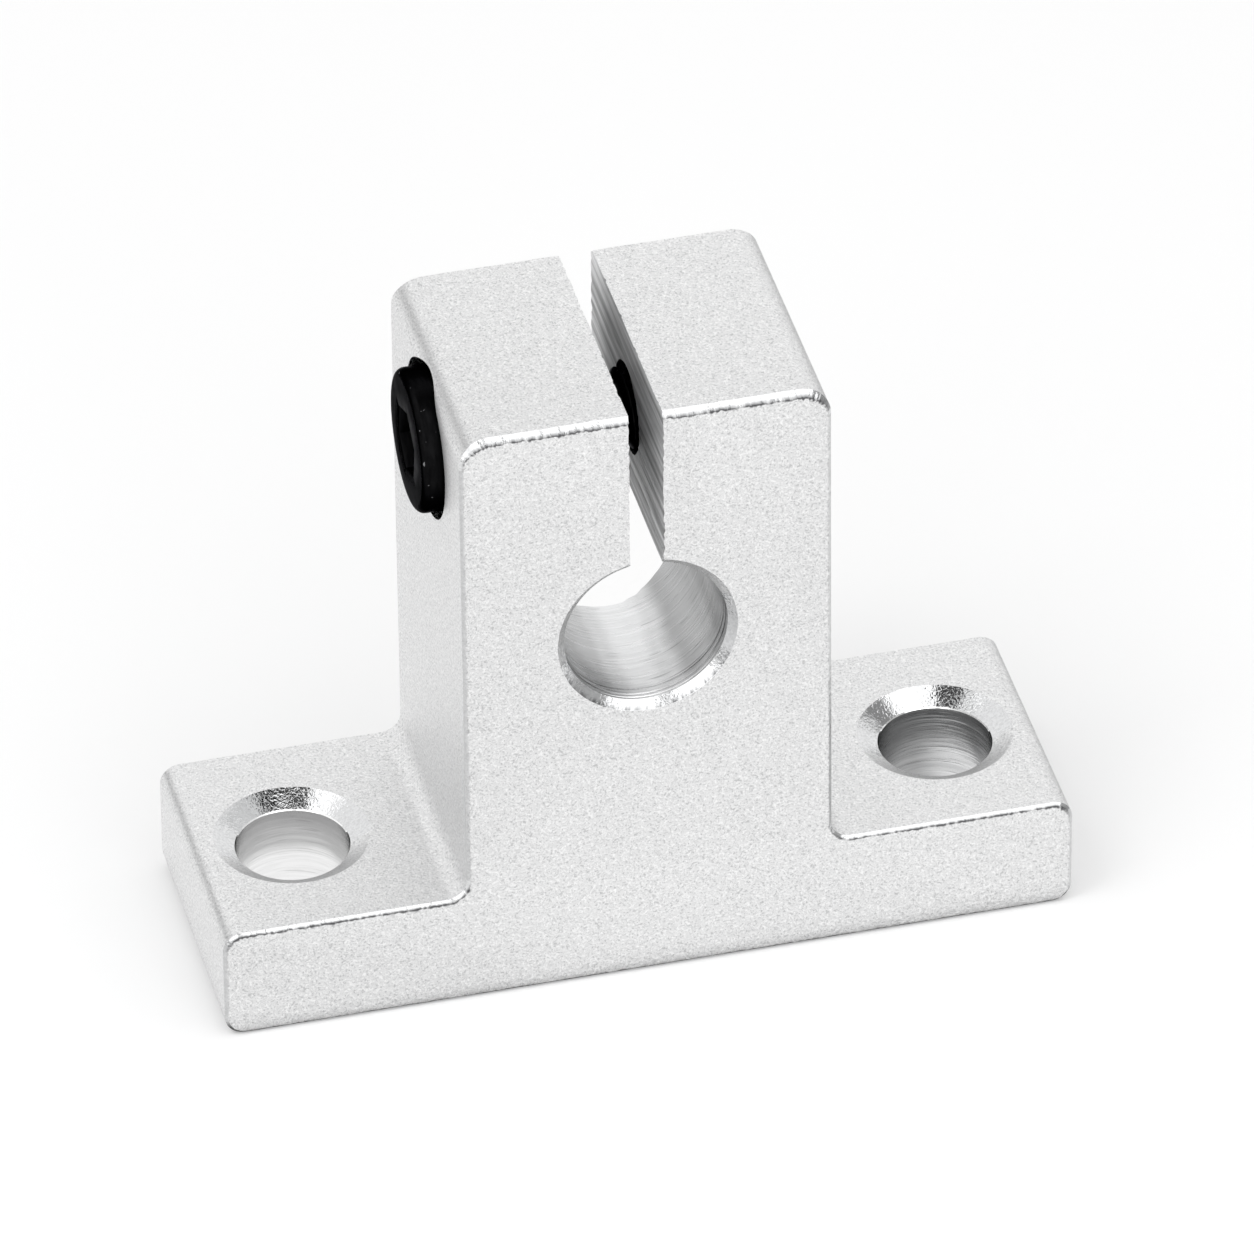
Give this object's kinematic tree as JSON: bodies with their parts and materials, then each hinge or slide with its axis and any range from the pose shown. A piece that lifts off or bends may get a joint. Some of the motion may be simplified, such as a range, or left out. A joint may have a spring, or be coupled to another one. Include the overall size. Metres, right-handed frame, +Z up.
{
  "type": "shaft support block",
  "caption": "Inverted-T aluminium block that clamps a round guide shaft in a split bore, drawn shut by a socket head cap screw.",
  "frame": {"origin": "centre of the base, on the plane that the feet rest on", "axes": "+X along the feet, away from the screw's head; +Y along the shaft, into the block from its front face; +Z up from the base"},
  "size_m": [0.042, 0.014, 0.0328],
  "materials": {
    "block": "fine bead-blasted, clear anodised, bright where it was machined",
    "screw": "black oxide, satin"
  },
  "bodies": {
    "block": {"support_block": "block"},
    "screw": {"clamp_screw": "screw"}
  },
  "joints": [
    {"name": "clamp_screw_turn", "type": "hinge", "parent": "block", "child": "screw", "pos_m": [-0.00995, 0, 0.0283], "axis": [-1, 0, 0], "range_deg": [0, 450]}
  ]
}
